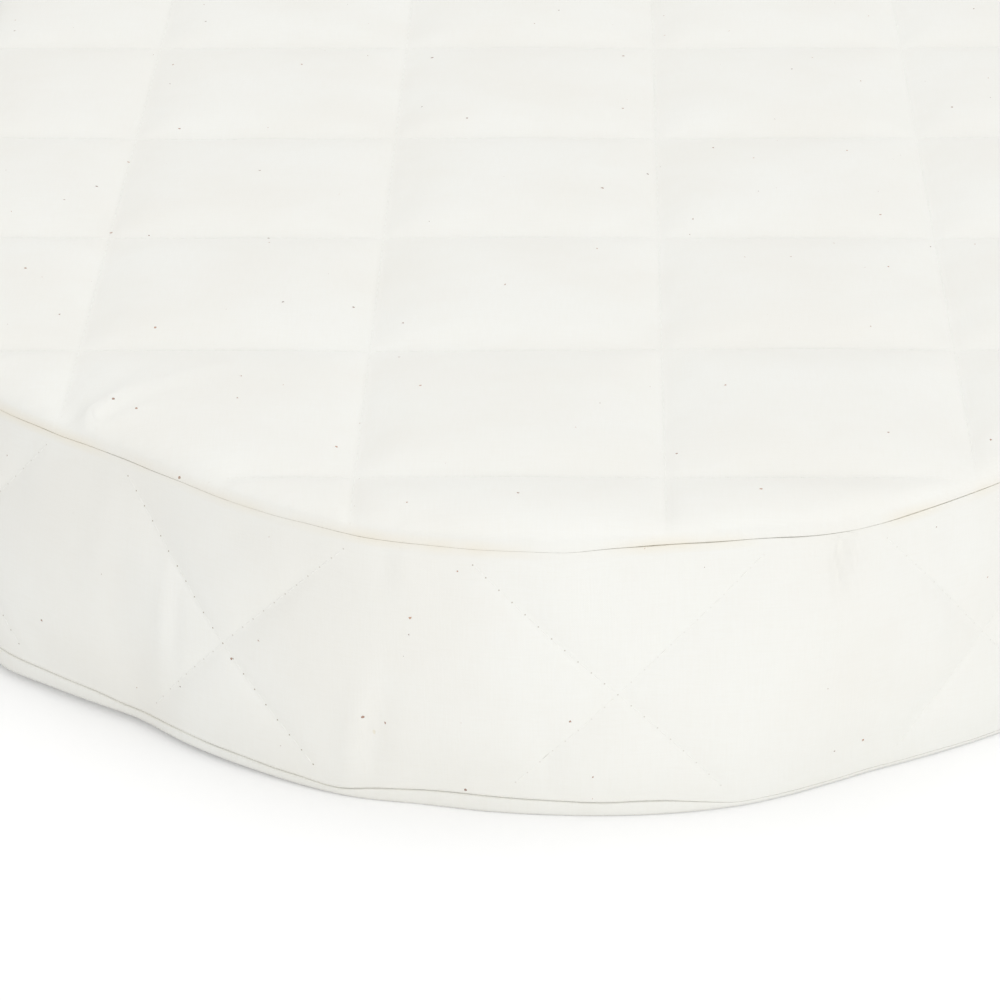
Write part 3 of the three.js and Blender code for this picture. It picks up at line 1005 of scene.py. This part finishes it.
def bottom_level(x, y, swollen):
    """The height of the bottom's face: on the floor where its squares swell, and up at its stitches and
    its rim."""
    gap = from_seam(0, x, y)[0]
    full = pillow(line_share(x, bottom_across)) * pillow(line_share(y, bottom_along))
    held = smooth(gap / rim_reach)
    filled = held * swollen / bottom_stitches + (1 - held) * min(1, pressed_share + full)
    lift = bottom_stitches * max(0, 1 - filled)
    return lift * min(1, max(0, gap) / rim_lift_reach) ** 2 + bottom_edge(gap, x, y)


def bottom_lip(first, ring):
    """Where the bottom's lip lies. It stands a little proud of the side up to the seam, then turns in."""
    gap, way = from_seam(0, first.x, first.y)
    if ring < 0:
        ring *= strip_stands(first.x, first.y)
    flat = first.xy + way * (gap - ring)
    return Vector((*flat, bottom_edge(ring if ring < seam_lip else -strip_proud, *flat)))


reshape(bottom_cloth, lambda x, y, z: (x, y, bottom_level(x, y, z)))
turn_over(bottom_cloth)
add_lip(bottom_cloth, bottom_rings, bottom_lip)
solid_cloth(bottom_cloth, cloth_thickness)
bottom_holes = panel_holes(bottom_across, bottom_along)
bottom_cloth.data.materials.append(cotton_cloth("bottom_cotton", bottom_holes, bottom_hole_shade_strength))
own(bottom_cloth, "bottom_face_cloth")


# The wadding of the three quilted panels: soft cotton batting that fills the cloth's squares, close under
# the face cloth and flat where the backing cloth lies against it.
under_cloth, least_wadding, seam_room = 0.9 * mm, 0.2 * mm, 0.1 * mm
fibre_strength, fibre_relief, fibres_per_cloud = 0.6, 0.6 * mm, 12


def soft_fill(name, fibre_scale, warm, cool):
    """A matt, slightly uneven material of fine tangled fibre or open cells."""
    paint, tree, shader = new_paint(name, 1.0, 0.1)
    place = add_node(tree, "ShaderNodeTexCoord").outputs["Object"]
    fibre = noise_value(tree, place, fibre_scale, 6.0, 0.7)
    cloud = noise_value(tree, place, fibre_scale / fibres_per_cloud)
    surface_bump(tree, shader, fibre, fibre_strength, fibre_relief)
    tone = blend_colours(tree, span(tree, maths(tree, "ADD", fibre, cloud), 0.8, 1.2), warm, cool)
    tree.links.new(tone, shader.inputs["Base Color"])
    return paint


def close_body(piece, far_side):
    """Gives a sheet a second side, whose places far_side works out, and walls between the two."""
    make_active(piece)
    with editing("FACE"):
        bpy.ops.mesh.extrude_region_move()
    for vertex in piece.data.vertices:
        if vertex.select:
            vertex.co = far_side(vertex.co)
    with editing("FACE"):
        bpy.ops.mesh.normals_make_consistent(inside=False)
    bpy.ops.object.shade_smooth_by_angle(angle=math.radians(50))


def new_piece(name, mesh):
    piece = bpy.data.objects.new(name, mesh)
    piece.data.name = name
    scene.collection.objects.link(piece)
    return piece


def draw_in(share, x, y, most):
    """A place of an inner layer, drawn in near its rim so that it stays inside the seam."""
    gap, way = from_seam(share, x, y)
    return Vector((x, y)) - way * most * (1 - min(max(gap, 0), top_roll) / top_roll) ** 2


wadding_paint = soft_fill("cotton_batting", 900, colour(247, 243, 230), colour(238, 232, 215))
rim_inset = 2.7 * mm


def flat_level(share, x, y, level):
    """The height of an inner layer's flat side. The bottom's low seam holds it down near the rim."""
    if share == 1:
        return level
    past_lips = max(0, from_seam(share, x, y)[0] - turned_in)
    return min(level, seam_height(False, x, y) - seam_room + past_lips / 2)


for name, mesh, share, face_level, near_side, flat_side in (
    ("top_batting", top_swollen, 1, top_level, -1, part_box("top_wadding")[0].z),
    ("bottom_batting", bottom_swollen, 0, bottom_level, 1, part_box("bottom_wadding")[1].z),
):
    batting = new_piece(name, mesh.copy())
    co = places(batting)
    for index, (x, y, z) in enumerate(co):
        level = face_level(x, y, z) + near_side * under_cloth
        keep = max if near_side < 0 else min
        co[index, :2] = draw_in(share, x, y, rim_inset)
        limit = flat_level(share, *co[index, :2], flat_side)
        co[index, 2] = keep(level, limit - near_side * least_wadding)
    set_places(batting, co)
    close_body(batting, lambda place: Vector((*place.xy, flat_level(share, *place.xy, flat_side))))
    batting.data.materials.append(wadding_paint)
    own(batting, name.split("_")[0] + "_wadding")

side_batting = new_piece("side_batting", side_swollen.copy())
backing_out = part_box("side_backing_cloth")[1].x - rim_radius


def under_the_band(x, y, z):
    """Where the wadding lies that fills a place of the band."""
    x, y, z = shaped_side(x, y, z)
    return *(Vector((x, y)) - under_cloth * round_place(run_of(x, y))[1]), z


reshape(side_batting, under_the_band)
close_body(side_batting, lambda place: side_place(*on_band(*place), backing_out + thread_gap))
side_batting.data.materials.append(wadding_paint)
own(side_batting, "side_wadding")


# The backing cloths: thin calico behind each panel's wadding, caught by the same quilting stitches, which
# dimple it a little.
backing_thickness, backing_inset, dimple_share = 0.5 * mm, 2.9 * mm, 0.04
calico_yarn, calico_slub_scale, calico_relief = 0.45 * mm, 420, 0.12 * mm


def calico_cloth(name):
    """Thin, warm, loosely woven calico."""
    paint, tree, shader = new_paint(name, 0.95, 0.1)
    flat = add_node(tree, "ShaderNodeTexCoord").outputs["Object"]
    weave = warp_and_weft(tree, flat, calico_yarn, 0.5)
    slub = noise_value(tree, flat, calico_slub_scale)
    surface_bump(tree, shader, maths(tree, "ADD", weave, slub), 0.3, calico_relief)
    tone = blend_colours(tree, span(tree, slub, 0.35, 0.65), colour(243, 237, 222), colour(236, 229, 211))
    tree.links.new(tone, shader.inputs["Base Color"])
    return paint


calico = calico_cloth("calico_backing")
for name, mesh, share, level, way_up in (
    ("top_backing", top_swollen, 1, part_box("top_backing_cloth")[1].z, 1),
    ("bottom_backing", bottom_swollen, 0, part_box("bottom_backing_cloth")[0].z, -1),
):
    backing = new_piece(name, mesh.copy())
    co = places(backing)
    for index, (x, y, z) in enumerate(co):
        co[index, :2] = draw_in(share, x, y, backing_inset)
        flat_side = level
        if share == 0:
            flat_side = flat_level(share, *co[index, :2], level - thread_gap) + thread_gap
        co[index, 2] = flat_side - way_up * dimple_share * max(0, top_loft - z)
    set_places(backing, co)
    if way_up < 0:
        turn_over(backing)
    solid_cloth(backing, backing_thickness)
    backing.data.materials.append(calico)
    own(backing, name + "_cloth")

side_backing = new_piece("side_backing", side_swollen.copy())
reshape(side_backing, lambda x, y, z: side_place(*on_band(x, y, z), backing_out))
solid_cloth(side_backing, backing_thickness)
side_backing.data.materials.append(calico)
own(side_backing, "side_backing_cloth")


# The core and its cover: one slab of firm foam cut to the pad's outline with eased edges, inside a thin
# calico cover whose mouth at the far end is closed by hand; here it is left as a narrow open slit. Both
# give way where the side is drawn in.
slab_corners, side_rows = 144, 6
eased_edge, edge_facets = 3 * mm, 3


def edge_reach(piece, edge, axis):
    """How far an edge of a piece reaches along an axis."""
    start, end = (piece.data.vertices[index].co[axis] for index in edge.vertices)
    return abs(start - end)


def slab(name, node):
    """A block in the pad's outline with eased edges, as large as a CAD node."""
    low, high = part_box(node)
    bpy.ops.object.select_all(action="DESELECT")
    bpy.ops.mesh.primitive_circle_add(
        vertices=slab_corners, radius=high.x, fill_type="NGON", location=(0, 0, low.z),
        rotation=(0, 0, math.pi / slab_corners),
    )
    piece = bpy.context.object
    piece.name = name
    place_mesh()
    for vertex in piece.data.vertices:
        vertex.co.y += math.copysign(high.y - high.x, vertex.co.y)
    with editing("EDGE"):
        bpy.ops.mesh.extrude_region_move(TRANSFORM_OT_translate={"value": (0, 0, high.z - low.z)})
        bpy.ops.mesh.select_all(action="SELECT")
        bpy.ops.mesh.normals_make_consistent(inside=False)
    with editing("EDGE", wanted=lambda edge: edge_reach(piece, edge, 2) < eased_edge / 10):
        bpy.ops.mesh.bevel(offset=eased_edge, segments=edge_facets, affect="EDGES")
    with editing("EDGE", wanted=lambda edge: edge_reach(piece, edge, 2) > (high.z - low.z) / 2):
        bpy.ops.mesh.subdivide(number_cuts=side_rows)
    for vertex in piece.data.vertices:
        flat = vertex.co.xy
        share = (vertex.co.z - side_low) / (side_high - side_low)
        vertex.co.xy += from_rim(*flat)[1] * seam_shift(share, *flat)
    bpy.ops.object.shade_smooth_by_angle(angle=math.radians(40))
    return piece


core = slab("foam_core", "core_slab")
core.data.materials.append(soft_fill("open_foam", 1400, colour(240, 229, 200), colour(228, 214, 180)))
own(core, "core_slab")

mouth_width, mouth_height, cover_thickness = 220 * mm, 3 * mm, 0.4 * mm
cover = slab("core_cover", "inner_cover")
with editing("EDGE"):
    for middle, half, way in (
        (side_middle, mouth_height / 2, Vector((0, 0, 1))), (0, mouth_width / 2, Vector((1, 0, 0))),
    ):
        for side in (-1, 1):
            bpy.ops.mesh.select_all(action="SELECT")
            bpy.ops.mesh.bisect(plane_co=way * (middle + side * half), plane_no=way)


def in_mouth(face):
    """Whether a face lies where the cover's mouth is left open."""
    middle = face.center
    in_height = abs(middle.z - side_middle) < mouth_height / 2
    return in_height and abs(middle.x) < mouth_width / 2 and middle.y > end_middle


with editing("FACE", wanted=in_mouth):
    bpy.ops.mesh.delete(type="FACE")
solid_cloth(cover, cover_thickness)
cover.data.materials.append(calico)
own(cover, "inner_cover")


# The sewing: undyed cotton thread. Each quilting line is a row of stitches that dive into the cloth at
# both ends, and the seams and the band's join have shorter ones down in their grooves.
quilting_radius, seam_radius = 0.15 * mm, 0.08 * mm
stitch_share, shorter_share, thinner_share = 0.86, 0.1, 0.25
stitch_dive, stitch_bends, above_cloth = 0.3 * mm, 4, 0.04 * mm
seam_pitch, seam_depth = 3 * mm, 0.5 * mm
look_from = 30 * mm
thread_fibre_scale, thread_relief = 6000, 0.05 * mm


def cotton_thread(name):
    """Undyed cotton thread with its twist and a soft sheen."""
    paint, tree, shader = new_paint(name, 0.8, 0.3)
    place = add_node(tree, "ShaderNodeTexCoord").outputs["Object"]
    fibre = noise_value(tree, place, thread_fibre_scale)
    surface_bump(tree, shader, fibre, 0.5, thread_relief)
    tone = blend_colours(tree, span(tree, fibre, 0.35, 0.65), colour(251, 251, 247), colour(248, 247, 241))
    tree.links.new(tone, shader.inputs["Base Color"])
    return paint


def one_stitch(length, radius):
    """One stitch along X: a strand whose ends dive down."""
    bpy.ops.object.select_all(action="DESELECT")
    bpy.ops.mesh.primitive_cylinder_add(
        vertices=6, radius=radius, depth=length, rotation=(0, math.pi / 2, 0),
    )
    piece = bpy.context.object
    place_mesh()
    with editing("EDGE", wanted=lambda edge: edge_reach(piece, edge, 0) > length / 2):
        bpy.ops.mesh.subdivide(number_cuts=stitch_bends)
    co = places(piece)
    share = np.abs(co[:, 0]) / (length / 2)
    co[:, 0] *= 1 - shorter_share * share
    co[:, 1:] *= (1 - thinner_share * share**3)[:, None]
    co[:, 2] -= stitch_dive * share**4
    faces = [tuple(face.vertices) for face in piece.data.polygons]
    bpy.data.objects.remove(piece)
    return co, faces


def sew(name, stitch, rows, paint, node):
    """One piece with a stitch between each two needle holes of its rows. A hole is a place and the way up
    out of the cloth there."""
    points, faces = [], []
    stitch_points, stitch_faces = stitch
    for row in rows:
        for (start, up_start), (end, up_end) in zip(row, row[1:]):
            along = (end - start).normalized()
            up = (up_start + up_end) / 2
            side = up.cross(along).normalized()
            up = along.cross(side)
            turn = np.array([along, side, up])
            first = len(points)
            points.extend(stitch_points @ turn + np.array((start + end) / 2 + up * above_cloth))
            faces.extend(tuple(first + index for index in face) for face in stitch_faces)
    mesh = bpy.data.meshes.new(name)
    mesh.from_pydata([tuple(point) for point in points], [], faces)
    piece = new_piece(name, mesh)
    make_active(piece)
    bpy.ops.object.shade_smooth_by_angle(angle=math.radians(60))
    piece.data.materials.append(paint)
    own(piece, node)


def on_cloth(cloth, start, way):
    """Where the cloth's face is met from a place, going one way, and the way back up."""
    met, place, normal, face = cloth.ray_cast(start, way)
    return (place if met else start + way * look_from), -way


thread = cotton_thread("quilting_thread")
quilting_stitch = one_stitch(stitch_pitch * stitch_share, quilting_radius)
for panel, cloth, share, lines, way in (
    ("top", top_cloth, 1, (top_across, top_along), Vector((0, 0, -1))),
    ("bottom", bottom_cloth, 0, (bottom_across, bottom_along), Vector((0, 0, 1))),
):
    level = (top_stitches if panel == "top" else 0) - way.z * look_from
    for axis, direction in ((0, "lengthwise"), (1, "crosswise")):
        found = sorted(name for name in nodes if name.startswith(f"{panel}_{direction}_thread_"))
        for node in found:
            low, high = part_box(node)
            line = (low[axis] + high[axis]) / 2
            start = lines[1 - axis][0]
            first = math.ceil((low[1 - axis] - stitch_pitch - start) / stitch_pitch)
            last = math.floor((high[1 - axis] + stitch_pitch - start) / stitch_pitch)
            row = []
            for count in range(first, last + 1):
                along = start + count * stitch_pitch
                flat = (line, along) if axis == 0 else (along, line)
                if from_seam(share, *flat)[0] > row_end:
                    row.append(on_cloth(cloth, Vector((*flat, level)), way))
            sew(node.replace("thread", "stitches"), quilting_stitch, [row], thread, node)

hole_step = crossing_run / band_stitches / 2
holes_up = math.floor((side_half + crossing_drop - row_end) / hole_step)
for count in range(crossing_count):
    middle_run = first_crossing + count * crossing_run
    rows = []
    for lean in (1, -1):
        row = []
        for hole in range(-holes_up, holes_up + 1):
            run, height = middle_run + lean * hole * hole_step, hole * hole_step - crossing_drop
            if abs(height) < side_half - row_end:
                start = side_place(run, height, look_from)
                way = round_place(run_of(start.x, start.y))[1].to_3d()
                row.append(on_cloth(band, start, -way))
        rows.append(row)
    name = f"side_crossing_stitches_{count + 1}"
    sew(name, quilting_stitch, rows, thread, name.replace("stitches", "thread"))

seam_stitch = one_stitch(seam_pitch * stitch_share, seam_radius)
seam_count = round(whole_run / seam_pitch)
for name, side, node in (
    ("top_seam_stitches", 1, "top_seam_thread"), ("bottom_seam_stitches", -1, "bottom_seam_thread"),
):
    row = []
    for count in range(seam_count + 1):
        run = count * whole_run / seam_count
        place = side_place(run, side * side_half, -seam_depth - side_tuck)
        place.z = seam_height(side > 0, place.x, place.y)
        row.append((place, round_place(run)[1].to_3d()))
    sew(name, seam_stitch, [row], thread, node)

join_count = round(2 * (side_half - 2 * seam_pitch) / seam_pitch)
row = []
for count in range(join_count + 1):
    height = (2 * count / join_count - 1) * (side_half - 2 * seam_pitch)
    way = round_place(join_run)[1].to_3d()
    row.append(on_cloth(band, side_place(join_run, height, look_from), -way))
sew("side_join_stitches", seam_stitch, [row], thread, "side_join_thread")
